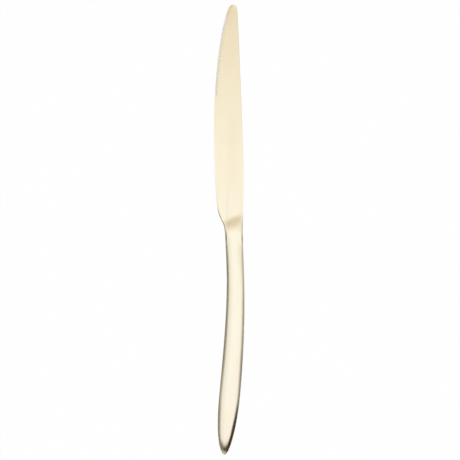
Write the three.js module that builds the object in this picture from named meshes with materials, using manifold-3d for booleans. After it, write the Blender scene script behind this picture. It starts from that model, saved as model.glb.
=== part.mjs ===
// Dessert knife: a forged blade with a ramped bolster, held by its tang in a hollow handle.
// The handle is two pressed half shells, brazed along the seam and filled round the tang.
// Millimetres. +Y runs from the butt to the tip, +X from the cutting edge to the spine, and
// +Z up from the table on which the knife lies on its side.

import * as THREE from "three";
import { mergeVertices } from "three/addons/utils/BufferGeometryUtils.js";
import Module from "manifold-3d";

const wasm = await Module();
wasm.setup();
const { clamp, lerp, smoothstep } = THREE.MathUtils;

// Lengths along the knife, from the joint between bolster and handle
const BLADE_LENGTH = 107;
const HANDLE_LENGTH = 103;

// Handle, seen from above: widths, and the gentle bow of its centre line
const JOINT_WIDTH = 8.4;
const WAIST_WIDTH = 8.05;
const WAIST_AT = 12;
const BELLY_WIDTH = 9.7;
const BUTT_LENGTH = 28; // the belly rounds off to the butt over this length
const HANDLE_BOW = 0.73; // towards the spine
const BOW_AT = 25;
const BUTT_SWEEP = 5.15; // from the bow back towards the cutting edge

// Handle, seen from the side
const JOINT_THICKNESS = 4.3;
const HANDLE_THICKNESS = 5.1; // at most, where the knife lies on the table
const SECTION_RATIO = 0.54; // thickness to width along the body
const SWELL_LENGTH = 16; // behind the joint, over which that ratio is reached
const CROWN_LAND = 1; // flat strip along the crown of each broad side
const LAND_SHARE = 0.15; // of the half width, beyond which the strip's half width never goes

// Shells, seam and filling
const SHELL_WALL = 0.6;
const SEAM_LAND = 1.3; // width of a shell's rim at the seam
const BUTT_WALL = 2.5;
const BRAZE_FILM = 0.2;
const FIT_GAP = 0.25;

// Blade, seen from above: distances of its edges from the handle's axis at the joint
const SPINE_REACH = 4.63;
const SPINE_SHOULDER_AT = 20;
const HEEL_REACH = 8.7;
const HEEL_LENGTH = 23;
const EDGE_REACH = 9.3;
const WIDEST_AT = 50;
const NOSE_LENGTH = 5.2;
const NOSE_EDGE_REACH = 3.85;
const NOSE_SPINE_REACH = 1.85;
const TIP_OFFSET = 0.4; // of the tip, towards the cutting edge

// Blade, in section
const SPINE_THICKNESS = 1.9;
const TIP_THICKNESS = 1.1;
const SHOULDER_THICKNESS = 0.7; // where the bevel starts
const HEEL_THICKNESS = 1; // the same on the heel, which isn't sharpened
const EDGE_THICKNESS = 0.24;
const BEVEL_WIDTH = 1.6;
const HEEL_BEVEL = 0.45;
const SPINE_CHAMFER = 0.25;
const HEEL_CROWN = 2.6; // thickness along the middle, in front of the ramp
const CROWN_END = 60; // where the blade's sides have become flat

// Neck of the bolster, whose sides rise in front of the joint and are chamfered
const NECK_FOOT = 0.9; // half thickness at the sides
const NECK_WALL = 0.45; // upright part of that
const NECK_RISE = 1.5; // from the joint
const RIM_SLOPE = 0.85;
const SPINE_CHAMFER_END = 18;

// Ramp from the bolster down to the blade: it falls ever faster to a slanted line, and levels out
const RAMP_START = 0.15;
const RAMP_STEEPEST = 6.15;
const RAMP_SLANT = 0.4; // rise along the blade per width across it
const RAMP_FOOT = 3;

// Tang and the collar at its root, which centres it in the handle's mouth
const COLLAR_LENGTH = 2.5;
const TANG_LENGTH = 52;
const TANG_THICKNESS = 1;
const TANG_TAPER = 0.4; // narrowing of each side towards the tang's end
const TANG_COVER = 1.2; // of mastic, between the tang's root and the shells at the waist
const NOTCH_COUNT = 3;
const NOTCH_PITCH = 12;
const NOTCH_LENGTH = 3;
const NOTCH_DEPTH = 0.45;

// Fine teeth on the front of the cutting edge: flutes ground into the upper side
const TEETH_START = 6; // from the tip
const TEETH_LENGTH = 38;
const TOOTH_PITCH = 1.2;
const TOOTH_DEPTH = 0.2;
const FLUTE_RADIUS = 0.8;
const FLUTE_TILT = THREE.MathUtils.degToRad(20);

// Fineness of the facets
const CURVE_STEPS = 160;
const HALF_SECTION_STEPS = 6;
const BLADE_SECTION_STEPS = 10;
const SWELL_STEPS = 5;
const BODY_STEPS = 11;
const RAMP_STEPS = 14;
const FLAT_STEPS = 20;
const END_STEPS = 9;
const FLUTE_SIDES = 18;
const END_SLICE = 0.03; // the rounded ends stop this short, as a tiny flat
const CUT_OVERRUN = 1; // a cutting form runs past the face that it opens

const film = BRAZE_FILM / 2;

// Solids

function toSolid(geometry) {
  geometry.deleteAttribute("normal");
  geometry.deleteAttribute("uv");
  const merged = mergeVertices(geometry);
  const vertProperties = new Float32Array(merged.attributes.position.array);
  const triVerts = new Uint32Array(merged.index.array);
  return new wasm.Manifold(new wasm.Mesh({ numProp: 3, vertProperties, triVerts }));
}

function toGeometry(solid) {
  const { vertProperties, triVerts } = solid.getMesh();
  const geometry = new THREE.BufferGeometry();
  geometry.setAttribute("position", new THREE.BufferAttribute(vertProperties, 3));
  geometry.setIndex(new THREE.BufferAttribute(triVerts, 1));
  geometry.computeVertexNormals();
  return geometry;
}

// A closed skin over rings of points, listed in the order of rising Y
function loft(rings) {
  const size = rings[0].length;
  const points = rings.flat();
  const faces = [];
  for (let ring = 0; ring + 1 < rings.length; ring++) {
    for (let i = 0; i < size; i++) {
      const a = ring * size + i;
      const b = ring * size + ((i + 1) % size);
      faces.push(a, a + size, b + size, a, b + size, b);
    }
  }
  const ends = [0, rings.length - 1];
  for (const end of ends) {
    const centre = new THREE.Vector3();
    rings[end].forEach((point) => centre.addScaledVector(point, 1 / size));
    const hub = points.push(centre) - 1;
    for (let i = 0; i < size; i++) {
      const a = end * size + i;
      const b = end * size + ((i + 1) % size);
      faces.push(hub, end ? b : a, end ? a : b);
    }
  }
  const geometry = new THREE.BufferGeometry().setFromPoints(points);
  geometry.setIndex(faces);
  return toSolid(geometry);
}

// A ring at one place along the knife: the upper line from spine to edge, and its mirror image
function mirroredRing(line, y) {
  const upper = line.map(([x, z]) => new THREE.Vector3(x, y, z));
  const lower = line.map(([x, z]) => new THREE.Vector3(x, y, -z));
  return [...upper, ...lower.reverse()];
}

function evenly(from, to, steps) {
  return Array.from({ length: steps + 1 }, (_, i) => lerp(from, to, i / steps));
}

// Distances from a rounded end, closer together towards it
function endDistances(length) {
  const steps = evenly(1, 0, END_STEPS).map((t) => length * t * t);
  return steps.map((distance) => Math.max(distance, END_SLICE));
}

// Reads a curve that climbs in Y as X for a given Y
function readAcross(path) {
  const points = path.getPoints(CURVE_STEPS);
  return (y) => {
    const found = points.findIndex((point) => point.y >= y);
    const i = clamp(found < 0 ? points.length - 1 : found, 1, points.length - 1);
    const [low, high] = [points[i - 1], points[i]];
    return lerp(low.x, high.x, clamp((y - low.y) / (high.y - low.y), 0, 1));
  };
}

// Handle: sizes at a distance s behind the joint

const buttX = HANDLE_BOW - BUTT_SWEEP;
const bowToButt = HANDLE_LENGTH - BOW_AT;
const handleCentre = readAcross(
  new THREE.Path()
    .moveTo(0, 0)
    .bezierCurveTo(HANDLE_BOW * 0.3, BOW_AT / 3, HANDLE_BOW, (BOW_AT * 2) / 3, HANDLE_BOW, BOW_AT)
    .bezierCurveTo(
      HANDLE_BOW,
      BOW_AT + bowToButt * 0.43,
      buttX,
      BOW_AT + bowToButt * 0.88,
      buttX,
      HANDLE_LENGTH,
    ),
);

// A quarter ellipse that closes the handle over its last stretch
function closing(s, length) {
  const into = clamp((s - HANDLE_LENGTH + length) / length, 0, 1);
  return Math.sqrt(1 - into * into);
}

function halfWidth(s) {
  const toWaist = clamp(s / WAIST_AT, 0, 1);
  const neck = lerp(JOINT_WIDTH, WAIST_WIDTH, toWaist * (2 - toWaist));
  const body = lerp(neck, BELLY_WIDTH, smoothstep(s, WAIST_AT, HANDLE_LENGTH - BUTT_LENGTH));
  return (body / 2) * closing(s, BUTT_LENGTH);
}

function halfThickness(s) {
  const ratio = lerp(JOINT_THICKNESS / JOINT_WIDTH, SECTION_RATIO, smoothstep(s, 0, SWELL_LENGTH));
  return Math.min(halfWidth(s) * ratio, HANDLE_THICKNESS / 2);
}

// Height of a lens section: a flat crown, falling as a cosine to a foot at the rim
function lensHeight(across, half, height, foot = film) {
  const land = Math.min(CROWN_LAND / 2, half * LAND_SHARE);
  const fall = clamp((Math.abs(across) - land) / (half - land), 0, 1);
  return foot + Math.max(height - foot, 0) * Math.cos((fall * Math.PI) / 2);
}

// The upper line of a lens section from the spine side to the edge side
function lensLine(centre, half, height) {
  const land = Math.min(CROWN_LAND / 2, half * LAND_SHARE);
  const quarter = evenly(Math.PI / 2, 0, HALF_SECTION_STEPS);
  const spineSide = quarter.map((angle) => lerp(land, half, Math.sin(angle)));
  const offsets = [...spineSide, ...spineSide.map((x) => -x).reverse()];
  return offsets.map((x) => [centre + x, lensHeight(x, half, height)]);
}

// The handle's skin, or the same form drawn in by a rim at the seam and by a wall
function handleLine(s, rim = 0, wall = 0) {
  const at = Math.max(s, 0);
  return lensLine(handleCentre(at), halfWidth(at) - rim, halfThickness(at) - wall);
}

// Places along the handle between two distances behind the joint, butt first
function handleStations(from, to) {
  const buttStart = HANDLE_LENGTH - BUTT_LENGTH;
  const butt = endDistances(BUTT_LENGTH).map((distance) => HANDLE_LENGTH - distance);
  const swell = evenly(0, SWELL_LENGTH, SWELL_STEPS);
  const body = evenly(SWELL_LENGTH, buttStart, BODY_STEPS);
  const all = [...swell, ...body, ...butt];
  const inside = all.filter((s) => s > from + FIT_GAP && s < to - FIT_GAP);
  return [...new Set([from, ...inside, to])].sort((a, b) => b - a);
}

const handleEnd = HANDLE_LENGTH - END_SLICE;
const cavityEnd = HANDLE_LENGTH - BUTT_WALL;

function handleForm(from, to, ringAt) {
  return loft(handleStations(from, to).map((s) => ringAt(s)));
}

function halfShellBlank(side) {
  return handleForm(film, handleEnd, (s) => {
    const line = handleLine(s).map(([x, z]) => new THREE.Vector3(x, -s, side * z));
    return side > 0 ? line : line.reverse();
  });
}

const cavity = handleForm(-CUT_OVERRUN, cavityEnd, (s) =>
  mirroredRing(handleLine(s, SEAM_LAND, SHELL_WALL), -s),
);

// The seam's braze: a flat strip with the handle's outline, open where the cavity is
function makeSeamBraze() {
  const sheet = handleForm(film, handleEnd, (s) => {
    const [centre, half] = [handleCentre(s), halfWidth(s)];
    return mirroredRing([[centre + half, film], [centre - half, film]], -s);
  });
  return sheet.subtract(cavity);
}

// The braze between the bolster and the mouth of the handle: a thin lens-shaped ring
function makeJointBraze() {
  const rings = [-film, film].map((y) => mirroredRing(handleLine(0), y));
  return loft(rings).subtract(cavity);
}

// Tang: a flat bar along the handle's centre line, notched on both sides to key it

const tangRoot = film + COLLAR_LENGTH;
const tangEnd = tangRoot + TANG_LENGTH;
const tangRootHalf = WAIST_WIDTH / 2 - SEAM_LAND - TANG_COVER;

// Half width of the tang, or of its socket when grown by a gap
function tangLine(grow) {
  const shift = grow * Math.tan(Math.PI / 8);
  const half = (s) => tangRootHalf - (TANG_TAPER * (s - tangRoot)) / TANG_LENGTH + grow;
  const line = [[tangRoot - CUT_OVERRUN, half(tangRoot)]];
  for (let i = 1; i <= NOTCH_COUNT; i++) {
    const start = tangRoot + i * NOTCH_PITCH + shift;
    const end = start + NOTCH_LENGTH - 2 * shift;
    line.push([start, half(start)]);
    line.push([start + NOTCH_DEPTH, half(start) - NOTCH_DEPTH]);
    line.push([end - NOTCH_DEPTH, half(end) - NOTCH_DEPTH]);
    line.push([end, half(end)]);
  }
  line.push([tangEnd + grow, half(tangEnd)]);
  return line;
}

function tangForm(grow) {
  const thick = TANG_THICKNESS / 2 + grow;
  const rings = tangLine(grow).map(([s, half]) => {
    const centre = handleCentre(s);
    return mirroredRing([[centre + half, thick], [centre - half, thick]], -s);
  });
  return loft(rings.reverse());
}

// Filling: hard mastic in the shells' cavity, round the tang
function makeFilling() {
  const rim = SEAM_LAND + FIT_GAP;
  const wall = SHELL_WALL + FIT_GAP;
  const body = handleForm(tangRoot + FIT_GAP, cavityEnd - FIT_GAP, (s) =>
    mirroredRing(handleLine(s, rim, wall), -s),
  );
  return body.subtract(tangForm(FIT_GAP));
}

// Blade: outlines of its spine and cutting edge, from the joint to the tip. The shares place
// the curves' control points between the named sizes.

const noseAt = BLADE_LENGTH - NOSE_LENGTH;
const heelToWidest = lerp(HEEL_LENGTH, WIDEST_AT, 0.5);
const widestToNose = noseAt - WIDEST_AT;

const spineX = readAcross(
  new THREE.Path()
    .moveTo(JOINT_WIDTH / 2, 0)
    .bezierCurveTo(
      JOINT_WIDTH / 2,
      SPINE_SHOULDER_AT * 0.35,
      JOINT_WIDTH / 2,
      SPINE_SHOULDER_AT * 0.65,
      SPINE_REACH,
      SPINE_SHOULDER_AT,
    )
    .quadraticCurveTo(
      lerp(SPINE_REACH, NOSE_SPINE_REACH, 0.05),
      lerp(SPINE_SHOULDER_AT, noseAt, 0.24),
      NOSE_SPINE_REACH,
      noseAt,
    )
    .bezierCurveTo(
      NOSE_SPINE_REACH * 0.87,
      noseAt + NOSE_LENGTH * 0.55,
      NOSE_SPINE_REACH * 0.75,
      BLADE_LENGTH,
      -TIP_OFFSET,
      BLADE_LENGTH,
    ),
);

const edgeX = readAcross(
  new THREE.Path()
    .moveTo(-JOINT_WIDTH / 2, 0)
    .bezierCurveTo(
      -lerp(JOINT_WIDTH / 2, HEEL_REACH, 0.14),
      HEEL_LENGTH * 0.41,
      -lerp(JOINT_WIDTH / 2, HEEL_REACH, 0.82),
      HEEL_LENGTH * 0.115,
      -HEEL_REACH,
      HEEL_LENGTH,
    )
    .quadraticCurveTo(-EDGE_REACH, heelToWidest, -EDGE_REACH, WIDEST_AT)
    .bezierCurveTo(
      -EDGE_REACH,
      WIDEST_AT + widestToNose * 0.4,
      lerp(-EDGE_REACH, -NOSE_EDGE_REACH, 0.4),
      WIDEST_AT + widestToNose * 0.78,
      -NOSE_EDGE_REACH,
      noseAt,
    )
    .bezierCurveTo(
      -NOSE_EDGE_REACH * 0.75,
      noseAt + NOSE_LENGTH * 0.5,
      -NOSE_EDGE_REACH * 0.58,
      BLADE_LENGTH,
      -TIP_OFFSET,
      BLADE_LENGTH,
    ),
);

// Width of the ground bevel, which narrows to a chamfer along the heel
function bevelWidth(y, left, right) {
  const sharp = smoothstep(y, HEEL_LENGTH * 0.45, HEEL_LENGTH);
  return Math.min(lerp(HEEL_BEVEL, BEVEL_WIDTH, sharp), (right - left) / 3);
}

// 0 is the full bolster and 1 the ground blade
const jointReach = JOINT_WIDTH / 2;
const rampEnd = RAMP_STEEPEST + RAMP_SLANT * jointReach + RAMP_FOOT;

function rampShare(x, y) {
  const steepest = RAMP_STEEPEST + RAMP_SLANT * clamp(x, -jointReach, jointReach);
  const fall = steepest - RAMP_START;
  const length = fall + RAMP_FOOT;
  const into = clamp(y - RAMP_START, 0, length);
  return into < fall ? into ** 2 / (fall * length) : 1 - (length - into) ** 2 / (RAMP_FOOT * length);
}

// Half thickness of the blade's side at a point: crowned in front of the ramp, flat further on
function sideHeight(x, y, left, right) {
  const bevel = bevelWidth(y, left, right);
  const shoulder = lerp(HEEL_THICKNESS, SHOULDER_THICKNESS, smoothstep(y, HEEL_LENGTH, WIDEST_AT)) / 2;
  const spine = lerp(SPINE_THICKNESS, TIP_THICKNESS, y / BLADE_LENGTH) / 2;
  const across = clamp((x - left - bevel) / (right - left - bevel), 0, 1);
  const flat = lerp(shoulder, spine, across) - Math.max(0, SPINE_CHAMFER - (right - x));
  const crowned = lensHeight(x, jointReach, HEEL_CROWN / 2, shoulder);
  return lerp(crowned, flat, smoothstep(y, rampEnd / 2, CROWN_END));
}

function bladeHeight(x, y, left, right) {
  const bevel = clamp((x - left) / bevelWidth(y, left, right), 0, 1);
  const ground = lerp(EDGE_THICKNESS / 2, sideHeight(x, y, left, right), bevel);
  const risen = smoothstep(y, film, NECK_RISE);
  const neck = lensHeight(x, jointReach, JOINT_THICKNESS / 2, lerp(film, NECK_FOOT, risen));
  const ramp = rampShare(x, y);
  const upright = film + NECK_WALL * risen * (1 - ramp);
  const spineUpright = upright + smoothstep(y, rampEnd / 2, SPINE_CHAMFER_END);
  const edgeChamfer = upright + RIM_SLOPE * (x - left);
  const spineChamfer = spineUpright + RIM_SLOPE * (right - x);
  return Math.min(lerp(neck, ground, ramp), edgeChamfer, spineChamfer);
}

function bladeRing(y) {
  const [left, right] = [edgeX(y), spineX(y)];
  const shoulder = left + bevelWidth(y, left, right);
  const chamfer = lerp(HEEL_BEVEL, SPINE_CHAMFER, smoothstep(y, rampEnd / 2, SPINE_CHAMFER_END));
  const corner = right - Math.min(chamfer, (right - left) / 6);
  const flat = evenly(corner, shoulder, BLADE_SECTION_STEPS);
  const across = [right, ...flat, (left + shoulder) / 2, left];
  return mirroredRing(across.map((x) => [x, bladeHeight(x, y, left, right)]), y);
}

function bladeBody() {
  const noseStart = BLADE_LENGTH - 2 * NOSE_LENGTH;
  const ramp = evenly(film, rampEnd, RAMP_STEPS);
  const flat = evenly(rampEnd, noseStart, FLAT_STEPS).slice(1, -1);
  const nose = endDistances(2 * NOSE_LENGTH).map((distance) => BLADE_LENGTH - distance);
  return loft([...ramp, ...flat, ...nose].map((y) => bladeRing(y)));
}

// One flute: a slim cylinder that enters at the edge and rises out of the upper side
function fluteAt(y) {
  const step = TOOTH_PITCH / 2;
  const along = new THREE.Vector3(edgeX(y + step) - edgeX(y - step), 2 * step, 0).normalize();
  const inward = new THREE.Vector3(along.y, -along.x, 0);
  const up = new THREE.Vector3(0, 0, 1);
  const axis = inward.clone().multiplyScalar(Math.cos(FLUTE_TILT));
  axis.addScaledVector(up, Math.sin(FLUTE_TILT));
  const down = inward.clone().multiplyScalar(Math.sin(FLUTE_TILT));
  down.addScaledVector(up, -Math.cos(FLUTE_TILT));
  const root = new THREE.Vector3(edgeX(y), y, -EDGE_THICKNESS / 2);
  root.addScaledVector(inward, TOOTH_DEPTH);
  root.addScaledVector(down, -FLUTE_RADIUS);
  root.addScaledVector(axis, BEVEL_WIDTH / 2);
  const reach = 4 * BEVEL_WIDTH;
  const flute = new THREE.CylinderGeometry(FLUTE_RADIUS, FLUTE_RADIUS, reach, FLUTE_SIDES);
  flute.applyQuaternion(new THREE.Quaternion().setFromUnitVectors(new THREE.Vector3(0, 1, 0), axis));
  flute.translate(root.x, root.y, root.z);
  return toSolid(flute);
}

function makeBlade() {
  const collar = handleForm(-CUT_OVERRUN, tangRoot, (s) =>
    mirroredRing(handleLine(s, SEAM_LAND + FIT_GAP, SHELL_WALL + FIT_GAP), -s),
  );
  const teeth = Math.floor(TEETH_LENGTH / TOOTH_PITCH);
  const firstTooth = BLADE_LENGTH - TEETH_START;
  let blade = bladeBody().add(collar).add(tangForm(0));
  for (let i = 0; i < teeth; i++) {
    blade = blade.subtract(fluteAt(firstTooth - i * TOOTH_PITCH));
  }
  return blade;
}

// Finishes

const satinGold = { color: 0xf3e3bf, metalness: 1, roughness: 0.32 };
const polishedGold = { color: 0xf6e7c6, metalness: 1, roughness: 0.18 };
const brazeGold = { color: 0xe6cf9c, metalness: 1, roughness: 0.35 };
const mastic = { color: 0x8d8579, metalness: 0, roughness: 0.9 };

const knife = new THREE.Group();

function addPiece(name, solid, finish) {
  const piece = new THREE.Mesh(toGeometry(solid), new THREE.MeshStandardMaterial(finish));
  piece.name = name;
  knife.add(piece);
}

addPiece("blade", makeBlade(), satinGold);
addPiece("handle_shell_front", halfShellBlank(1).subtract(cavity), polishedGold);
addPiece("handle_shell_back", halfShellBlank(-1).subtract(cavity), polishedGold);
addPiece("handle_seam_braze", makeSeamBraze(), brazeGold);
addPiece("bolster_joint_braze", makeJointBraze(), brazeGold);
addPiece("handle_filling", makeFilling(), mastic);

// The knife lies on the table, with the middle of its box over the origin
const box = new THREE.Box3().setFromObject(knife);
const middle = box.getCenter(new THREE.Vector3());
knife.position.set(-middle.x, -middle.y, -box.min.z);

export default knife;
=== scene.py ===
# Looks of the dessert knife. Fine meshes in the forms of the CAD solids replace them, with
# procedural champagne-gold materials, under a soft studio light and a camera straight above.
# The shapes are worked out in millimetres from the middle of the joint between the bolster and
# the handle: +Y to the tip, +X to the spine, +Z up from the table.

import math

import bmesh
import bpy
import numpy as np
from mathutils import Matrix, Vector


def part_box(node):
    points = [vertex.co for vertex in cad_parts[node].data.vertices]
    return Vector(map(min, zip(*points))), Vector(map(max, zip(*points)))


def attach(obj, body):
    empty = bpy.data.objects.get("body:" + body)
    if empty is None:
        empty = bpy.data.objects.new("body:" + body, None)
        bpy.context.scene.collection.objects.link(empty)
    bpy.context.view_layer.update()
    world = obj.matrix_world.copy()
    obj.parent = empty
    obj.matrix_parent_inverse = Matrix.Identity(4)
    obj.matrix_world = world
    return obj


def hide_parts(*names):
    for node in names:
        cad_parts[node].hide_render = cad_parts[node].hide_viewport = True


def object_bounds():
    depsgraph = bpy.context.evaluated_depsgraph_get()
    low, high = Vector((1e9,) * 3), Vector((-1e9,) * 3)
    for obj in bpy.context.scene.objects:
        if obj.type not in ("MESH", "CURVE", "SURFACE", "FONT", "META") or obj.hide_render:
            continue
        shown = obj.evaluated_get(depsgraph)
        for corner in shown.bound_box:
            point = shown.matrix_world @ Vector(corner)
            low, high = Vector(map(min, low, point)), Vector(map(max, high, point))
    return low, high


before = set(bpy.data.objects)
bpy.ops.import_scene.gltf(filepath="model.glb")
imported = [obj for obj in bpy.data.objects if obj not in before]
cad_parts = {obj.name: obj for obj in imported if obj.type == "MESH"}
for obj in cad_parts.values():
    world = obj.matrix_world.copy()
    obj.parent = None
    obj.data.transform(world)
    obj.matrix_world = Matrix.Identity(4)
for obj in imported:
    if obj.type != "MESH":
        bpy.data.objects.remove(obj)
cad_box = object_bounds()

MM = 0.001

# Sizes that the frame gives
joint_low, joint_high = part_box("bolster_joint_braze")
ORIGIN = (joint_low + joint_high) / 2
JOINT_WIDTH, BRAZE_FILM, JOINT_THICKNESS = (joint_high - joint_low) / MM
BLADE_LENGTH = (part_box("blade")[1].y - ORIGIN.y) / MM
HANDLE_LENGTH = (ORIGIN.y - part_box("handle_shell_front")[0].y) / MM
HANDLE_THICKNESS = 2 * (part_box("handle_shell_front")[1].z - ORIGIN.z) / MM
TANG_END = (ORIGIN.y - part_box("blade")[0].y) / MM

# Handle, seen from above and from the side
WAIST_WIDTH = 8.05
WAIST_AT = 12
BELLY_WIDTH = 9.7
BUTT_LENGTH = 28
HANDLE_BOW = 0.73
BOW_AT = 25
BUTT_SWEEP = 5.15
CROWN_LAND = 1
LAND_SHARE = 0.15
SECTION_RATIO = 0.54
SWELL_LENGTH = 16

# Shells and tang
SHELL_WALL = 0.6
SEAM_LAND = 1.3
BUTT_WALL = 2.5
FIT_GAP = 0.25
COLLAR_LENGTH = 2.5
TANG_THICKNESS = 1
TANG_TAPER = 0.4
TANG_COVER = 1.2
NOTCH_COUNT = 3
NOTCH_PITCH = 12
NOTCH_LENGTH = 3
NOTCH_DEPTH = 0.45

# Blade, seen from above
SPINE_REACH = 4.63
SPINE_SHOULDER_AT = 20
HEEL_REACH = 8.7
HEEL_LENGTH = 23
EDGE_REACH = 9.3
WIDEST_AT = 50
NOSE_LENGTH = 5.2
NOSE_EDGE_REACH = 3.85
NOSE_SPINE_REACH = 1.85
TIP_OFFSET = 0.4

# Blade, in section
SPINE_THICKNESS = 1.9
TIP_THICKNESS = 1.1
SHOULDER_THICKNESS = 0.7
HEEL_THICKNESS = 1.0
EDGE_THICKNESS = 0.24
BEVEL_WIDTH = 1.6
HEEL_BEVEL = 0.45
BEVEL_START = 0.45
SPINE_ROUND = 0.35
NECK_FOOT = 0.95
NECK_WALL = 0.45
NECK_FADE = 5
HEEL_CROWN = 2.6
CROWN_END = 60
RIM_SLOPE = 0.85
SPINE_CHAMFER_END = 18
RAMP_START = 0.15
RAMP_STEEPEST = 6.15
RAMP_SLANT = 0.4
RAMP_FOOT = 3

# Fine teeth on the front of the cutting edge
TEETH_START = 6
TEETH_LENGTH = 38
TOOTH_PITCH = 1.2
TOOTH_DEPTH = 0.2
FLUTE_RADIUS = 0.8
FLUTE_TILT = math.radians(20)
FLUTE_SPAN = 0.95

# Fineness of the meshes, and the least widths left at their ends
CURVE_STEPS = 200
LENS_STEPS = 20
SHELL_STEPS = 90
RAMP_STEPS = 60
PLAIN_STEPS = 40
NOSE_STEPS = 60
TOOTH_STEPS = 12
NICK_STEPS = 40
ROUNDING_STEPS = 8
SIDE_STEPS = 26
BEVEL_STEPS = 25
SHOULDER_MARGIN = 1.04
TIP_GAP = 0.004
BUTT_GAP = 0.002
THINNEST = 0.02

# Wear of the coat along the outlines, and the finish of the flutes as a multiple of satin
EDGE_WEAR = 0.3
BLADE_WEAR_REACH = 0.25
HANDLE_WEAR_SHARE = 0.03
FLUTE_SATIN = 5

film = BRAZE_FILM / 2


# Curves

def lerp(a, b, share):
    return a + (b - a) * share


def smoothstep(x, low, high):
    t = np.clip((x - low) / (high - low), 0, 1)
    return t * t * (3 - 2 * t)


def bezier(*controls):
    """Points along a quadratic or cubic curve."""
    t = np.linspace(0, 1, CURVE_STEPS)[:, None]
    points = [np.array(control, float) for control in controls]
    while len(points) > 1:
        points = [lerp(a, b, t) for a, b in zip(points, points[1:])]
    return points[0]


def read_across(*curves):
    """Joins curves that climb in Y, and reads X for a given Y."""
    path = np.vstack(curves)
    return lambda y: np.interp(y, path[:, 1], path[:, 0])


def towards_end(length, steps):
    """Distances from a rounded end, closer together towards it."""
    return length * np.linspace(1, 0, steps) ** 2


# Forms of the handle, at a distance s behind the joint

butt_x = HANDLE_BOW - BUTT_SWEEP
bow_to_butt = HANDLE_LENGTH - BOW_AT
handle_centre = read_across(
    bezier((0, 0), (HANDLE_BOW * 0.3, BOW_AT / 3), (HANDLE_BOW, BOW_AT * 2 / 3), (HANDLE_BOW, BOW_AT)),
    bezier(
        (HANDLE_BOW, BOW_AT),
        (HANDLE_BOW, BOW_AT + bow_to_butt * 0.43),
        (butt_x, BOW_AT + bow_to_butt * 0.88),
        (butt_x, HANDLE_LENGTH),
    ),
)


def closing(s):
    """A quarter ellipse that closes the handle over its last stretch."""
    into = np.clip((s - HANDLE_LENGTH + BUTT_LENGTH) / BUTT_LENGTH, 0, 1)
    return np.sqrt(1 - into ** 2)


def half_width(s):
    """Half the width: it narrows to the waist, widens to the belly and closes at the butt."""
    to_waist = np.clip(s / WAIST_AT, 0, 1)
    neck = lerp(JOINT_WIDTH, WAIST_WIDTH, to_waist * (2 - to_waist))
    body = lerp(neck, BELLY_WIDTH, smoothstep(s, WAIST_AT, HANDLE_LENGTH - BUTT_LENGTH))
    return body / 2 * closing(s)


def half_thickness(s):
    """Half the thickness, in proportion to the width once past the swell behind the joint."""
    ratio = lerp(JOINT_THICKNESS / JOINT_WIDTH, SECTION_RATIO, smoothstep(s, 0, SWELL_LENGTH))
    return np.minimum(half_width(s) * ratio, HANDLE_THICKNESS / 2)


def lens_height(across, half, height, foot=film):
    """A flat crown that falls as a cosine to a foot on either side."""
    land = np.minimum(CROWN_LAND / 2, half * LAND_SHARE)
    fall = np.clip((np.abs(across) - land) / (half - land), 0, 1)
    return foot + np.maximum(height - foot, 0) * np.cos(fall * math.pi / 2)


def lens_rows(s, inset=0, wall=0, steps=LENS_STEPS):
    """Rows of points over the upper side of the handle, or of the same form drawn in."""
    s = np.atleast_1d(s)[:, None]
    at = np.maximum(s, 0)
    half = half_width(at) - inset
    land = np.minimum(CROWN_LAND / 2, half * LAND_SHARE)
    flank = lerp(land, half, np.sin(np.linspace(math.pi / 2, 0, steps + 1)))
    offset = np.hstack([flank, -flank[:, ::-1]])
    height = lens_height(offset, half, half_thickness(at) - wall)
    return np.dstack([handle_centre(at) + offset, np.broadcast_to(-s, offset.shape), height])


def outer_rows(s):
    """Rows over the outside of the handle, along which the neck's raised rim runs out."""
    rows = lens_rows(s)
    at = np.maximum(s, 0)[:, None]
    raised = 1 - smoothstep(at, 0, NECK_FADE)
    half = half_width(at)
    offset = rows[:, :, 0] - handle_centre(at)
    lens = lens_height(offset, half, half_thickness(at), lerp(film, NECK_FOOT, raised))
    chamfer = film + NECK_WALL * raised + lerp(1, RIM_SLOPE, raised) * (half - np.abs(offset))
    rows[:, 1:-1, 2] = np.minimum(lens, chamfer)[:, 1:-1]
    return rows


# Forms of the blade

nose_at = BLADE_LENGTH - NOSE_LENGTH
heel_to_widest = lerp(HEEL_LENGTH, WIDEST_AT, 0.5)
widest_to_nose = nose_at - WIDEST_AT
joint_reach = JOINT_WIDTH / 2

spine_x = read_across(
    bezier(
        (joint_reach, 0),
        (joint_reach, SPINE_SHOULDER_AT * 0.35),
        (joint_reach, SPINE_SHOULDER_AT * 0.65),
        (SPINE_REACH, SPINE_SHOULDER_AT),
    ),
    bezier(
        (SPINE_REACH, SPINE_SHOULDER_AT),
        (lerp(SPINE_REACH, NOSE_SPINE_REACH, 0.05), lerp(SPINE_SHOULDER_AT, nose_at, 0.24)),
        (NOSE_SPINE_REACH, nose_at),
    ),
    bezier(
        (NOSE_SPINE_REACH, nose_at),
        (NOSE_SPINE_REACH * 0.87, nose_at + NOSE_LENGTH * 0.55),
        (NOSE_SPINE_REACH * 0.75, BLADE_LENGTH),
        (-TIP_OFFSET, BLADE_LENGTH),
    ),
)

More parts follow.
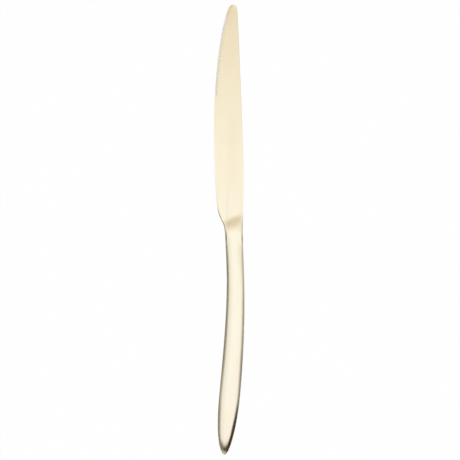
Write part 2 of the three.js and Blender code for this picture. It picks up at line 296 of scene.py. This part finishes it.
edge_x = read_across(
    bezier(
        (-joint_reach, 0),
        (-lerp(joint_reach, HEEL_REACH, 0.14), HEEL_LENGTH * 0.41),
        (-lerp(joint_reach, HEEL_REACH, 0.82), HEEL_LENGTH * 0.115),
        (-HEEL_REACH, HEEL_LENGTH),
    ),
    bezier((-HEEL_REACH, HEEL_LENGTH), (-EDGE_REACH, heel_to_widest), (-EDGE_REACH, WIDEST_AT)),
    bezier(
        (-EDGE_REACH, WIDEST_AT),
        (-EDGE_REACH, WIDEST_AT + widest_to_nose * 0.4),
        (-lerp(EDGE_REACH, NOSE_EDGE_REACH, 0.4), WIDEST_AT + widest_to_nose * 0.78),
        (-NOSE_EDGE_REACH, nose_at),
    ),
    bezier(
        (-NOSE_EDGE_REACH, nose_at),
        (-NOSE_EDGE_REACH * 0.75, nose_at + NOSE_LENGTH * 0.5),
        (-NOSE_EDGE_REACH * 0.58, BLADE_LENGTH),
        (-TIP_OFFSET, BLADE_LENGTH),
    ),
)

ramp_end = RAMP_STEEPEST + RAMP_SLANT * joint_reach + RAMP_FOOT


def ramp_share(x, y):
    """0 on the full bolster and 1 on the ground blade: it falls ever faster to a slanted line, and
    levels out over a short foot."""
    steepest = RAMP_STEEPEST + RAMP_SLANT * x
    fall = steepest - RAMP_START
    falling = np.clip(y - RAMP_START, 0, None) ** 2 / (fall * (fall + RAMP_FOOT))
    levelling = 1 - np.clip(steepest + RAMP_FOOT - y, 0, None) ** 2 / (RAMP_FOOT * (fall + RAMP_FOOT))
    return np.where(y < steepest, falling, levelling)


def bevel_width(y, width):
    """The ground bevel, which narrows to a chamfer along the unsharpened heel."""
    sharp = smoothstep(y, HEEL_LENGTH * BEVEL_START, HEEL_LENGTH)
    return np.minimum(lerp(HEEL_BEVEL, BEVEL_WIDTH, sharp), width / 3)


def rounding_off(inside, radius):
    """Drop of a rounded corner at a distance inside the outline."""
    into = np.clip(radius - inside, 0, radius)
    return radius - np.sqrt(radius ** 2 - into ** 2)


def spine_rounding(width):
    """Radius of the spine's rounded edges, which is less where the blade is narrow."""
    return np.minimum(SPINE_ROUND, width / 6)


def ground_height(x, y, left, right):
    """Half thickness of the ground blade: crowned at the heel, flat further on, bevelled to the edge."""
    bevel = bevel_width(y, right - left)
    shoulder = lerp(HEEL_THICKNESS, SHOULDER_THICKNESS, smoothstep(y, HEEL_LENGTH, WIDEST_AT)) / 2
    spine = lerp(SPINE_THICKNESS, TIP_THICKNESS, y / BLADE_LENGTH) / 2
    towards_spine = np.clip((x - left - bevel) / (right - left - bevel), 0, 1)
    flat = lerp(shoulder, spine, towards_spine) - rounding_off(right - x, spine_rounding(right - left))
    crowned = lens_height(x, joint_reach, HEEL_CROWN / 2, shoulder)
    side = lerp(crowned, flat, smoothstep(y, ramp_end / 2, CROWN_END))
    return lerp(EDGE_THICKNESS / 2, side, np.clip((x - left) / bevel, 0, 1))


def blade_height(x, y, left, right):
    """Half thickness of the blade and its bolster, chamfered along both rims of the bolster."""
    ramp = ramp_share(x, y)
    neck = lens_height(x, joint_reach, JOINT_THICKNESS / 2, NECK_FOOT)
    height = lerp(neck, ground_height(x, y, left, right), ramp)
    edge_wall = film + NECK_WALL * (1 - ramp)
    spine_wall = edge_wall + smoothstep(y, ramp_end / 2, SPINE_CHAMFER_END)
    edge_chamfer = edge_wall + RIM_SLOPE * (x - left)
    spine_chamfer = spine_wall + RIM_SLOPE * (right - x)
    return np.minimum(height, np.minimum(edge_chamfer, spine_chamfer))


first_tooth = BLADE_LENGTH - TEETH_START
tooth_count = math.floor(TEETH_LENGTH / TOOTH_PITCH)


def flute_floor(x, y):
    """Height of the lowest flute over a point: cylinders that enter at the edge and rise inward."""
    nearest = np.round((first_tooth - y) / TOOTH_PITCH)
    floor = np.full(np.broadcast(x, y).shape, np.inf)
    for neighbour in (-1, 0, 1):
        tooth = np.clip(nearest + neighbour, 0, tooth_count - 1)
        at = first_tooth - tooth * TOOTH_PITCH
        slope = (edge_x(at + TOOTH_PITCH / 2) - edge_x(at - TOOTH_PITCH / 2)) / TOOTH_PITCH
        length = np.sqrt(1 + slope ** 2)
        along = ((x - edge_x(at)) * slope + (y - at)) / length
        inward = ((x - edge_x(at)) - (y - at) * slope) / length
        reach = np.abs(along) < FLUTE_RADIUS * FLUTE_SPAN
        wall = FLUTE_RADIUS - np.sqrt(np.where(reach, FLUTE_RADIUS ** 2 - along ** 2, 1))
        height = (inward - TOOTH_DEPTH) * math.tan(FLUTE_TILT) + wall / math.cos(FLUTE_TILT)
        floor = np.where(reach, np.minimum(floor, height - EDGE_THICKNESS / 2), floor)
    return floor


def notched_edge(y):
    """The cutting edge with the nicks that the flutes leave in it."""
    left = edge_x(y)
    into = np.linspace(0, TOOTH_DEPTH * 1.5, NICK_STEPS)
    x = left[:, None] + into
    under = -blade_height(x, y[:, None], left[:, None], spine_x(y)[:, None])
    open_air = flute_floor(x, y[:, None]) < under
    return left + np.where(open_air, into, 0).max(axis=1)


# Meshes

class Skin:
    """The points and faces of one mesh, and how worn and how satin each point is. Wear goes from 0
    to 1. Satin is 0 on polished metal, 1 on the blade and higher in the freshly ground flutes."""

    def __init__(self):
        self.points = []
        self.faces = []
        self.wear = []
        self.satin = []

    def grid(self, points, wear=0, satin=0):
        """Adds rows of points, and returns their numbers in the same rows."""
        rows, columns = points.shape[:2]
        first = len(self.points)
        self.points.extend(points.reshape(-1, 3))
        self.wear.extend(np.broadcast_to(wear, (rows, columns)).ravel())
        self.satin.extend(np.broadcast_to(satin, (rows, columns)).ravel())
        return first + np.arange(rows * columns).reshape(rows, columns)

    def patch(self, numbers):
        """Faces between neighbouring rows and columns."""
        for low, high in zip(numbers, numbers[1:]):
            for a, b, c, d in zip(low, low[1:], high[1:], high):
                self.faces.append([a, b, c, d])

    def tube(self, numbers):
        """Faces round closed rows."""
        self.patch(np.hstack([numbers, numbers[:, :1]]))

    def fan(self, row, tip):
        """Triangles from a row of points to one point."""
        self.faces.extend([a, b, tip] for a, b in zip(row, row[1:]))


SHARP_ANGLE = math.radians(32)


def make_piece(name, skin, material, node):
    """A piece of the knife, in the place of a CAD node."""
    mesh = bpy.data.meshes.new(name)
    points = np.clip(np.array(skin.points) * MM + np.array(ORIGIN), *np.array(cad_box))
    mesh.from_pydata(points.tolist(), [], [[int(i) for i in face] for face in skin.faces])
    for attribute in ("wear", "satin"):
        values = np.array(getattr(skin, attribute), np.float32)
        mesh.attributes.new(attribute, "FLOAT", "POINT").data.foreach_set("value", values)
    form = bmesh.new()
    form.from_mesh(mesh)
    bmesh.ops.recalc_face_normals(form, faces=form.faces)
    form.to_mesh(mesh)
    form.free()
    mesh.shade_smooth()
    mesh.set_sharp_from_angle(angle=SHARP_ANGLE)
    mesh.materials.append(material)
    piece = bpy.data.objects.new(name, mesh)
    bpy.context.scene.collection.objects.link(piece)
    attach(piece, "root")
    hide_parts(node)


def mirrored(rows):
    """Closed rings: an upper line and its mirror image below."""
    return np.hstack([rows, rows[:, ::-1] * [1, 1, -1]])


def blade_stations():
    """Distances along the blade, closest together over the ramp, the teeth and the nose."""
    ramp = np.linspace(film, ramp_end, RAMP_STEPS)[:-1]
    step = TOOTH_PITCH / TOOTH_STEPS
    teeth_top = first_tooth + TOOTH_PITCH / 2
    teeth = teeth_top - np.arange(tooth_count * TOOTH_STEPS + 1) * step
    plain = np.linspace(ramp_end, teeth.min() - step, PLAIN_STEPS)
    nose = BLADE_LENGTH - towards_end(2 * NOSE_LENGTH, NOSE_STEPS)
    y = np.concatenate([ramp, plain, teeth, nose])
    return np.unique(np.round(np.clip(y, film, BLADE_LENGTH - TIP_GAP), 4))


def blade_columns(left, right, bevel):
    """Places across the blade from the spine to the edge, closest over the rounding and the bevel."""
    rounding = spine_rounding(right - left)
    arc = 1 - np.sin(np.linspace(math.pi / 2, 0, ROUNDING_STEPS))
    side_end = left + bevel * SHOULDER_MARGIN
    return np.hstack([
        right - rounding * arc,
        lerp(right - rounding, side_end, np.linspace(0, 1, SIDE_STEPS)[1:]),
        left + bevel * np.linspace(1, 0, BEVEL_STEPS) ** 1.5,
    ])


def bladed_rows():
    """The blade and bolster from the joint to the tip, as rings, with their wear and satin shares."""
    y = blade_stations()
    left = notched_edge(y)[:, None]
    plain_left = edge_x(y)[:, None]
    right = spine_x(y)[:, None]
    y = y[:, None]
    x = blade_columns(left, right, bevel_width(y, right - left))
    upper = blade_height(x, y, plain_left, right)
    lower = -upper
    floor = flute_floor(x, y)
    fluted = floor < upper
    upper = np.maximum(np.minimum(upper, floor), lower + THINNEST)
    along = np.broadcast_to(y, x.shape)
    top = np.dstack([x, along, upper])
    bottom = np.dstack([x, along, lower])[:, ::-1]
    across = np.hstack([x, x[:, ::-1]])
    from_edges = np.minimum(across - left, right - across)
    wear = EDGE_WEAR * np.exp(-from_edges / BLADE_WEAR_REACH)
    satin = ramp_share(across, np.broadcast_to(y, across.shape))
    upper_columns = x.shape[1]
    wear[:, :upper_columns][fluted] = 1
    satin[:, :upper_columns][fluted] *= FLUTE_SATIN
    return np.hstack([top, bottom]), wear, satin


def tang_rows(columns):
    """The tang behind the collar: a flat bar along the handle's centre line, notched on both sides."""
    root = film + COLLAR_LENGTH
    root_half = WAIST_WIDTH / 2 - SEAM_LAND - TANG_COVER
    line = [(root, 0)]
    for i in range(1, NOTCH_COUNT + 1):
        start = root + i * NOTCH_PITCH
        end = start + NOTCH_LENGTH
        line += [(start, 0), (start + NOTCH_DEPTH, NOTCH_DEPTH), (end - NOTCH_DEPTH, NOTCH_DEPTH), (end, 0)]
    line.append((TANG_END, 0))
    s, notch = np.array(line).T[:, :, None]
    half = root_half - TANG_TAPER * (s - root) / (TANG_END - root) - notch
    x = handle_centre(s) + half * np.linspace(1, -1, columns)
    return np.dstack([x, np.broadcast_to(-s, x.shape), np.full(x.shape, TANG_THICKNESS / 2)])


def blade_skin():
    """The blade with its bolster, and the collar and tang inside the handle."""
    skin = Skin()
    rings, wear, satin = bladed_rows()
    columns = rings.shape[1] // 2
    rim = SEAM_LAND + FIT_GAP
    wall = SHELL_WALL + FIT_GAP
    collar_s = np.array([-film, film + COLLAR_LENGTH])
    collar = lens_rows(collar_s, rim, wall, steps=columns // 2 - 1)
    tang = tang_rows(columns)
    inside = np.vstack([mirrored(collar), mirrored(tang)])[::-1]
    numbers = np.vstack([skin.grid(inside), skin.grid(rings, wear, satin)])
    skin.tube(numbers)
    for end in (numbers[0], numbers[-1]):
        skin.patch(np.vstack([end[:columns], end[columns:][::-1]]))
    return skin


def shell_stations():
    """Distances along the shells behind the joint, and the row where the cavity ends."""
    body = np.linspace(film, HANDLE_LENGTH - BUTT_LENGTH, SHELL_STEPS)
    butt = HANDLE_LENGTH - towards_end(BUTT_LENGTH, SHELL_STEPS)[1:-1]
    cavity_end = HANDLE_LENGTH - BUTT_WALL
    s = np.unique(np.concatenate([body, butt, [cavity_end]]))
    return s, np.searchsorted(s, cavity_end)


def shell_skin(side):
    """A pressed half shell: skin, cavity, seam faces, mouth and solid butt."""
    skin = Skin()
    s, wall_row = shell_stations()
    flip = [1, 1, side]
    outside = outer_rows(s)
    reach = np.abs(np.linspace(-1, 1, outside.shape[1]))
    from_rims = 1 - np.sin(reach * math.pi / 2)
    outer = skin.grid(outside * flip, wear=EDGE_WEAR * np.exp(-from_rims / HANDLE_WEAR_SHARE))
    inner = skin.grid(lens_rows(s[:wall_row + 1], SEAM_LAND, SHELL_WALL) * flip)
    skin.patch(outer)
    skin.patch(inner)
    skin.patch(np.vstack([outer[0], inner[0]]))
    for column in (0, -1):
        skin.patch(np.vstack([outer[:wall_row + 1, column], inner[:, column]]))
    skin.faces.append(list(inner[-1]))
    hub = [outer[wall_row, 0], inner[-1, 0], inner[-1, -1], outer[wall_row, -1]]
    skin.faces.append(hub + [outer[wall_row + 1, -1], outer[wall_row + 1, 0]])
    skin.patch(np.vstack([outer[wall_row + 1:, 0], outer[wall_row + 1:, -1]]))
    tip = skin.grid(np.array([[[butt_x, -HANDLE_LENGTH, side * film]]]), wear=EDGE_WEAR)[0, 0]
    skin.fan(outer[-1], tip)
    skin.faces.append([outer[-1, 0], outer[-1, -1], tip])
    return skin


def seam_skin():
    """The braze film between the shells: a flat strip along the handle's outline."""
    skin = Skin()
    s, wall_row = shell_stations()
    s_tip = np.append(s, HANDLE_LENGTH - BUTT_GAP)
    layers = []
    for z in (film, -film):
        sides = []
        for sign, rows, rim in ((1, s_tip, 0), (1, s[:wall_row + 1], SEAM_LAND),
                                (-1, s[:wall_row + 1], SEAM_LAND), (-1, s_tip, 0)):
            x = handle_centre(rows) + sign * (half_width(rows) - rim)
            line = np.column_stack([x, -rows, np.full(rows.shape, z)])
            sides.append(skin.grid(line[None], wear=EDGE_WEAR)[0])
        layers.append(sides)
        right, inner_right, inner_left, left = sides
        skin.patch(np.vstack([right[:wall_row + 1], inner_right]))
        skin.patch(np.vstack([inner_left, left[:wall_row + 1]]))
        hub = [right[wall_row], inner_right[-1], inner_left[-1], left[wall_row]]
        skin.faces.append(hub + [left[wall_row + 1], right[wall_row + 1]])
        skin.patch(np.vstack([right[wall_row + 1:], left[wall_row + 1:]]))
    top, bottom = layers
    for upper, lower in zip(top, bottom):
        skin.patch(np.vstack([upper, lower]))
    for a, b in ((0, 1), (2, 3)):
        skin.faces.append([top[a][0], top[b][0], bottom[b][0], bottom[a][0]])
    skin.faces.append([top[1][-1], top[2][-1], bottom[2][-1], bottom[1][-1]])
    skin.faces.append([top[0][-1], top[3][-1], bottom[3][-1], bottom[0][-1]])
    return skin


def joint_skin():
    """The braze film between the bolster and the mouth of the handle: a thin lens-shaped ring."""
    skin = Skin()
    ends = np.array([film, -film])
    rings = []
    for section in (outer_rows(np.zeros(2)), lens_rows(np.zeros(2), SEAM_LAND, SHELL_WALL)):
        rows = mirrored(section)
        rows[:, :, 1] = ends[:, None]
        rings.append(skin.grid(rows))
    outer, inner = rings
    skin.tube(outer)
    skin.tube(inner)
    for end in (0, 1):
        skin.tube(np.vstack([outer[end], inner[end]]))
    return skin


# Materials

def feed(tree, socket, value):
    """Links a socket to another node's output, or sets its value."""
    if isinstance(value, bpy.types.NodeSocket):
        tree.links.new(value, socket)
    else:
        socket.default_value = value


def add_node(tree, kind, inputs=None, **settings):
    node = tree.nodes.new(kind)
    for name, value in settings.items():
        setattr(node, name, value)
    for name, value in (inputs or {}).items():
        feed(tree, node.inputs[name], value)
    return node


def new_material(name):
    material = bpy.data.materials.new(name)
    material.use_nodes = True
    material.node_tree.nodes.clear()
    return material, material.node_tree


def output(tree, shader):
    add_node(tree, "ShaderNodeOutputMaterial", {"Surface": shader})


def stretched_noise(tree, scale, detail=3.0, turn=0.0):
    """Noise in object coordinates, with so many cells a metre along X, Y and Z."""
    place = add_node(tree, "ShaderNodeTexCoord").outputs["Object"]
    turned = add_node(tree, "ShaderNodeMapping", {
        "Vector": place, "Rotation": (0, 0, turn), "Scale": scale,
    })
    noise = add_node(tree, "ShaderNodeTexNoise", {
        "Vector": turned.outputs["Vector"], "Scale": 1.0, "Detail": detail, "Roughness": 0.55,
    })
    return noise.outputs["Fac"]


def remap(tree, value, low, high, to_low, to_high):
    ranged = add_node(tree, "ShaderNodeMapRange", {
        "Value": value, "From Min": low, "From Max": high, "To Min": to_low, "To Max": to_high,
    })
    return ranged.outputs["Result"]


def math_node(tree, operation, a, b):
    node = add_node(tree, "ShaderNodeMath", operation=operation)
    for socket, value in zip(node.inputs, (a, b)):
        feed(tree, socket, value)
    return node.outputs["Value"]


def mix_colour(tree, share, a, b, blend="MIX"):
    node = add_node(tree, "ShaderNodeMix", data_type="RGBA", blend_type=blend)
    for name, value in (("Factor_Float", share), ("A_Color", a), ("B_Color", b)):
        socket = next(s for s in node.inputs if s.identifier == name)
        feed(tree, socket, value)
    return next(s for s in node.outputs if s.identifier == "Result_Color")


def mix_shader(tree, share, a, b):
    node = add_node(tree, "ShaderNodeMixShader")
    for socket, value in zip(node.inputs, (share, a, b)):
        feed(tree, socket, value)
    return node.outputs["Shader"]


# Colours of the coat, the filling and the light
GOLD = (0.97, 0.88, 0.70, 1)
GOLD_SHADE = (0.95, 0.855, 0.665, 1)
WORN_GOLD = (0.98, 0.95, 0.88, 1)
MASTIC = (0.3, 0.27, 0.22, 1)
MASTIC_SHADE = (0.22, 0.19, 0.15, 1)
WHITE = (1, 1, 1, 1)

# Roughness of the finishes
POLISHED = 0.15
SCRATCHED = 0.22
SATIN = 0.22
SATIN_SPREAD = 0.05

# Cells of the noises, a metre along X, Y and Z, and the slant of the scratches
CLOUD_CELLS = (60, 60, 60)
GRAIN_CELLS = (7000, 130, 7000)
HAIR_CELLS = (5200, 90, 5200)
HAIR_SLANT = math.radians(14)
GRIT_CELLS = (2500, 2500, 2500)
MOTTLE_CELLS = (220, 220, 220)

# Depths of the grain and the grit in metres, and of the scratches as a share of the grain's
GRAIN_DEPTH = 0.000003
GRIT_DEPTH = 0.00008
SCRATCH_SHARE = 0.25


def gold(name):
    """Champagne-gold coat: polished with hair-fine scratches, or satin with a grain along the blade."""
    material, tree = new_material(name)
    satin = add_node(tree, "ShaderNodeAttribute", attribute_name="satin").outputs["Fac"]
    wear = add_node(tree, "ShaderNodeAttribute", attribute_name="wear").outputs["Fac"]
    clouds = stretched_noise(tree, CLOUD_CELLS)
    grain = stretched_noise(tree, GRAIN_CELLS, detail=2.0)
    hairs = stretched_noise(tree, HAIR_CELLS, detail=2.0, turn=HAIR_SLANT)
    scratches = remap(tree, hairs, 0.66, 0.74, 0.0, 1.0)

    tone = mix_colour(tree, remap(tree, clouds, 0.3, 0.7, 0.0, 1.0), GOLD, GOLD_SHADE)
    worn = math_node(tree, "MULTIPLY", wear, remap(tree, clouds, 0.35, 0.65, 0.5, 0.9))
    colour = mix_colour(tree, worn, tone, WORN_GOLD)

    polished = remap(tree, scratches, 0.0, 1.0, POLISHED, SCRATCHED)
    brushed = remap(tree, grain, 0.3, 0.7, SATIN - SATIN_SPREAD, SATIN + SATIN_SPREAD)
    roughness = add_node(
        tree, "ShaderNodeMix", {"Factor": satin, "A": polished, "B": brushed},
        data_type="FLOAT", clamp_factor=False,
    )
    raised = math_node(tree, "MULTIPLY", grain, math_node(tree, "MINIMUM", satin, 1.0))
    sunk = math_node(tree, "MULTIPLY", scratches, SCRATCH_SHARE)
    height = math_node(tree, "SUBTRACT", raised, sunk)
    bump = add_node(tree, "ShaderNodeBump", {"Height": height, "Strength": 0.3, "Distance": GRAIN_DEPTH})
    shader = add_node(tree, "ShaderNodeBsdfPrincipled", {
        "Base Color": colour,
        "Metallic": 1.0,
        "Roughness": roughness.outputs["Result"],
        "Normal": bump.outputs["Normal"],
    })
    output(tree, shader.outputs["BSDF"])
    return material


def mastic():
    """Hard cast filling, mottled and slightly pitted."""
    material, tree = new_material("mastic")
    grit = stretched_noise(tree, GRIT_CELLS, detail=5.0)
    clouds = stretched_noise(tree, MOTTLE_CELLS)
    colour = mix_colour(tree, remap(tree, clouds, 0.3, 0.7, 0.0, 1.0), MASTIC, MASTIC_SHADE)
    bump = add_node(tree, "ShaderNodeBump", {"Height": grit, "Strength": 0.4, "Distance": GRIT_DEPTH})
    shader = add_node(tree, "ShaderNodeBsdfPrincipled", {
        "Base Color": colour,
        "Roughness": remap(tree, grit, 0.3, 0.7, 0.75, 0.95),
        "Normal": bump.outputs["Normal"],
    })
    output(tree, shader.outputs["BSDF"])
    return material


gold_coat = gold("champagne_gold")
make_piece("knife_blade", blade_skin(), gold_coat, "blade")
make_piece("shell_front", shell_skin(1), gold_coat, "handle_shell_front")
make_piece("shell_back", shell_skin(-1), gold_coat, "handle_shell_back")
make_piece("seam_strip", seam_skin(), gold_coat, "handle_seam_braze")
make_piece("joint_ring", joint_skin(), gold_coat, "bolster_joint_braze")
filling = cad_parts["handle_filling"].data
filling.materials.clear()
filling.materials.append(mastic())


# Studio

# The photo's frame: its width in pixels, a pixel's size at the knife, and the spot in its middle
PHOTO_PIXELS = 460
PIXEL = 0.46615 * MM
PHOTO_CENTRE = (0.000345, -0.000135)
LENS = 85
SENSOR = 36


def make_camera():
    """Straight above the knife, as high as the photo's frame needs."""
    data = bpy.data.cameras.new("camera")
    data.lens = LENS
    data.sensor_width = SENSOR
    camera = bpy.data.objects.new("camera", data)
    distance = PHOTO_PIXELS * PIXEL * LENS / SENSOR
    camera.location = (*PHOTO_CENTRE, ORIGIN.z + distance)
    bpy.context.scene.collection.objects.link(camera)
    bpy.context.scene.camera = camera


def make_sheet(name, points, faces, material):
    """A sheet of the studio, which is no piece of the knife."""
    mesh = bpy.data.meshes.new(name)
    mesh.from_pydata(points, [], faces)
    mesh.materials.append(material)
    sheet = bpy.data.objects.new(name, mesh)
    bpy.context.scene.collection.objects.link(sheet)
    return sheet


def seen_directly(tree):
    """1 for rays from the camera, a mirror or glass, and 0 for the rest."""
    path = add_node(tree, "ShaderNodeLightPath").outputs
    mirror = math_node(tree, "MAXIMUM", path["Is Glossy Ray"], path["Is Transmission Ray"])
    return math_node(tree, "MAXIMUM", path["Is Camera Ray"], mirror)


FLOOR_REACH = 5.0
FLOOR_DROP = 0.00005
FLOOR_WHITE = 0.975
FLOOR_PAPER = (0.96, 0.96, 0.96, 1)


def make_floor():
    """White paper, nearly all of it as bright as the background and the rest lit, for the shadow."""
    material, tree = new_material("floor")
    paper = add_node(tree, "ShaderNodeBsdfDiffuse", {"Color": FLOOR_PAPER})
    white = add_node(tree, "ShaderNodeEmission", {"Color": WHITE, "Strength": 1.0})
    share = math_node(tree, "MULTIPLY", seen_directly(tree), FLOOR_WHITE)
    output(tree, mix_shader(tree, share, paper.outputs["BSDF"], white.outputs["Emission"]))
    reach = FLOOR_REACH
    corners = [(-reach, -reach, 0), (reach, -reach, 0), (reach, reach, 0), (-reach, reach, 0)]
    floor = make_sheet("floor", corners, [[0, 1, 2, 3]], material)
    floor.location.z = -FLOOR_DROP


# Brightness far on the left and right, and on both sides towards the tip. The spans here are parts
# of a direction's X, Y or Z.
LEFT_DIM = 0.91
RIGHT_DIM = 1.0
FRONT_DIM = 0.82
SIDE_NEAR = 0.4
SIDE_FAR = 0.9
FRONT_SPAN = (-0.02, 0.06)
OVERHEAD_SPAN = (0.2, 0.55)

# The arch: its turn and bend, how dark it is on either side, and where it pales to that
ARCH_TURN = 0.06
ARCH_BEND = 0.107
ARCH_LEFT = 0.82
ARCH_RIGHT = 0.2
ARCH_LEFT_SPAN = (-0.75, -0.1)
ARCH_RIGHT_SPAN = (0.57, 0.67)


def colour_ramp(tree, value, stops):
    """Colours along a value from -1 to 1."""
    ramp = add_node(tree, "ShaderNodeValToRGB", {"Fac": remap(tree, value, -1, 1, 0, 1)})
    elements = ramp.color_ramp.elements
    while len(elements) < len(stops):
        elements.new(0.5)
    for element, (at, colour) in zip(elements, stops):
        element.position = at / 2 + 0.5
        element.color = (*colour, 1)
    return ramp.outputs["Color"]


def sky_colour(tree, parts):
    """White all round, with a gradient overhead: cool and bright on the butt's side, warm on the tip's."""
    ramp = colour_ramp(tree, parts["Y"], [
        (-0.20, (1.02, 1.03, 1.07)),
        (-0.08, (1.03, 1.085, 1.16)),
        (0.00, (1.04, 1.08, 1.11)),
        (0.03, (1.06, 1.09, 1.10)),
        (0.06, (1.06, 1.08, 1.09)),
        (0.10, (1.05, 1.035, 1.00)),
        (0.20, (0.86, 0.81, 0.695)),
        (0.28, (0.76, 0.71, 0.59)),
        (0.36, (0.72, 0.67, 0.55)),
        (0.60, (0.72, 0.67, 0.55)),
        (0.85, (1.00, 1.00, 1.00)),
    ])
    overhead = remap(tree, parts["Z"], *OVERHEAD_SPAN, 0.0, 1.0)
    return mix_colour(tree, overhead, WHITE, ramp)


def arch_colour(tree, parts):
    """What stands behind the butt, from the floor up: room light, a grey wall, a dark arch, the sky."""
    turned = math_node(tree, "ADD", parts["Y"], math_node(tree, "MULTIPLY", parts["X"], ARCH_TURN))
    squared = math_node(tree, "MULTIPLY", parts["X"], parts["X"])
    behind = math_node(tree, "SUBTRACT", turned, math_node(tree, "MULTIPLY", squared, ARCH_BEND))
    return colour_ramp(tree, behind, [
        (-0.86, (1.00, 1.00, 1.00)),
        (-0.76, (0.46, 0.45, 0.42)),
        (-0.65, (0.46, 0.45, 0.42)),
        (-0.625, (0.18, 0.155, 0.12)),
        (-0.605, (0.025, 0.011, 0.002)),
        (-0.487, (0.025, 0.011, 0.002)),
        (-0.472, (0.28, 0.255, 0.20)),
        (-0.455, (0.75, 0.73, 0.67)),
        (-0.43, (1.00, 1.00, 1.00)),
    ])


def make_world():
    """The sky and the arch, dimmer far on the left, and on both sides towards the tip. The arch pales
    a little on the left, and nearly ends far on the right."""
    world = bpy.data.worlds.new("world")
    world.use_nodes = True
    tree = world.node_tree
    tree.nodes.clear()
    direction = add_node(tree, "ShaderNodeTexCoord").outputs["Generated"]
    parts = add_node(tree, "ShaderNodeSeparateXYZ", {"Vector": direction}).outputs
    left_depth = remap(tree, parts["X"], *ARCH_LEFT_SPAN, ARCH_LEFT, 1.0)
    right_depth = remap(tree, parts["X"], *ARCH_RIGHT_SPAN, 1.0, ARCH_RIGHT)
    depth = math_node(tree, "MULTIPLY", left_depth, right_depth)
    colour = mix_colour(tree, depth, sky_colour(tree, parts), arch_colour(tree, parts), "MULTIPLY")
    left_dim = remap(tree, parts["Y"], *FRONT_SPAN, LEFT_DIM, FRONT_DIM)
    right_dim = remap(tree, parts["Y"], *FRONT_SPAN, RIGHT_DIM, FRONT_DIM)
    left_fall = remap(tree, parts["X"], -SIDE_FAR, -SIDE_NEAR, left_dim, 1.0)
    right_fall = remap(tree, parts["X"], SIDE_NEAR, SIDE_FAR, 1.0, right_dim)
    strength = math_node(tree, "MULTIPLY", left_fall, right_fall)
    light = add_node(tree, "ShaderNodeBackground", {"Color": colour, "Strength": strength})
    add_node(tree, "ShaderNodeOutputWorld", {"Surface": light.outputs["Background"]})
    bpy.context.scene.world = world


CARD_STEPS = 60
GREY_CARD = (0.25, 0.24, 0.2)
DARK_CARD = (0.034, 0.014, 0.002)

# Stations of the cards: azimuth, the elevations where the card starts to fade and has faded out
# (all in degrees), and its cover
LEFT_STATIONS = [(125, 7, 14, 1), (235, 7, 14, 1)]
RIGHT_STATIONS = [
    (-25, 5, 12, 1),
    (-11, 5, 12, 1),
    (-7, 5, 12, 0.92),
    (-3, 5, 12, 0.68),
    (1, 5, 12, 0.75),
    (85, 5, 12, 0.8),
]
REAR_STATIONS = [
    (-125, 24, 32, 0),
    (-112, 24, 32, 0.55),
    (-68, 24, 36, 0.55),
    (-58, 20, 44, 0.65),
    (-50, 28, 42, 1),
    (-42, 27, 37, 1),
    (-30, 14, 27, 1),
    (-24, 14, 24, 1),
    (-16, 12, 17, 1),
    (-8, 10, 14, 0.95),
    (-1, 9, 13, 0.58),
    (7, 9, 14, 0.42),
    (21, 9, 14, 0.36),
    (28, 9, 14, 0.2),
    (40, 9, 14, 0),
]


def make_card(name, centre, distance, stations, tint):
    """A dark card bent round a spot of the floor, seen only in the metal."""
    material, tree = new_material(name)
    cover = add_node(tree, "ShaderNodeAttribute", attribute_name="cover").outputs["Fac"]
    dark = add_node(tree, "ShaderNodeBsdfDiffuse", {"Color": (*tint, 1)})
    clear = add_node(tree, "ShaderNodeBsdfTransparent")
    output(tree, mix_shader(tree, cover, clear.outputs["BSDF"], dark.outputs["BSDF"]))

    at, solid, fade, share = np.array(stations, float).T
    azimuth = np.linspace(at[0], at[-1], CARD_STEPS + 1)
    ring_x = centre[0] + distance * np.cos(np.radians(azimuth))
    ring_y = centre[1] + distance * np.sin(np.radians(azimuth))
    tops = [np.zeros_like(at), solid, fade]
    heights = [distance * np.tan(np.radians(np.interp(azimuth, at, top))) for top in tops]
    covers = [np.interp(azimuth, at, row) for row in (share, share, np.zeros_like(share))]
    points = [np.column_stack([ring_x, ring_y, height]) for height in heights]
    skin = Skin()
    skin.patch(skin.grid(np.array(points)))
    faces = [[int(i) for i in face] for face in skin.faces]
    card = make_sheet(name, np.array(skin.points).tolist(), faces, material)
    card.data.attributes.new("cover", "FLOAT", "POINT").data.foreach_set("value", np.ravel(covers))
    for kind in ("camera", "diffuse", "transmission", "shadow", "volume_scatter"):
        setattr(card, "visible_" + kind, False)


ROOM_REACH = 0.6
REAR_REACH = 0.05
rear_s = HANDLE_LENGTH - BUTT_LENGTH / 2
rear = (ORIGIN.x + handle_centre(rear_s) * MM, ORIGIN.y - rear_s * MM)

make_camera()
make_floor()
make_world()
make_card("card_left", (0, 0), ROOM_REACH, LEFT_STATIONS, GREY_CARD)
make_card("card_right", (0, 0), ROOM_REACH, RIGHT_STATIONS, GREY_CARD)
make_card("card_rear", rear, REAR_REACH, REAR_STATIONS, DARK_CARD)

bpy.context.scene.view_settings.view_transform = "Standard"
